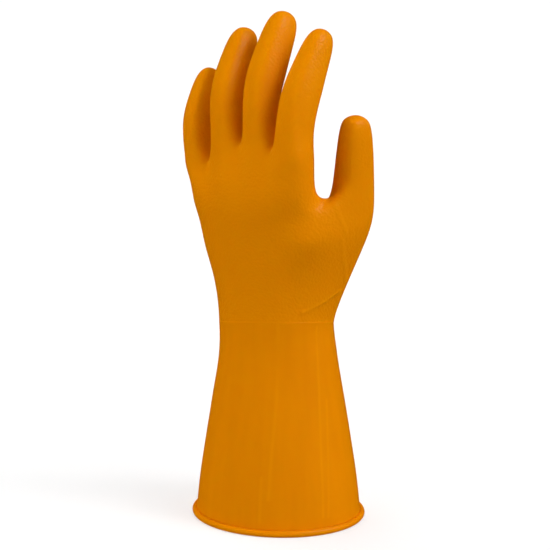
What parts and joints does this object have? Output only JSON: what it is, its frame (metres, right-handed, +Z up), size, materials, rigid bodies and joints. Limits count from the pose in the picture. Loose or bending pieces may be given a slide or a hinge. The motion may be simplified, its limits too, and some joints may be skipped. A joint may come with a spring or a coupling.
{
  "type": "latex glove",
  "caption": "Left-hand dipped latex work glove with curved fingers, a flared gauntlet sleeve and a rolled rim, standing on its rim.",
  "frame": {"origin": "on the floor, under the middle of the glove's whole width and depth", "axes": "+Z up from the rolled rim to the fingertips, the back of the hand faces -Y, the thumb is on the +X side"},
  "size_m": [0.1222, 0.1006, 0.3052],
  "materials": {
    "latex": "satin orange latex"
  },
  "bodies": {
    "root": {"glove": "latex"}
  },
  "joints": []
}
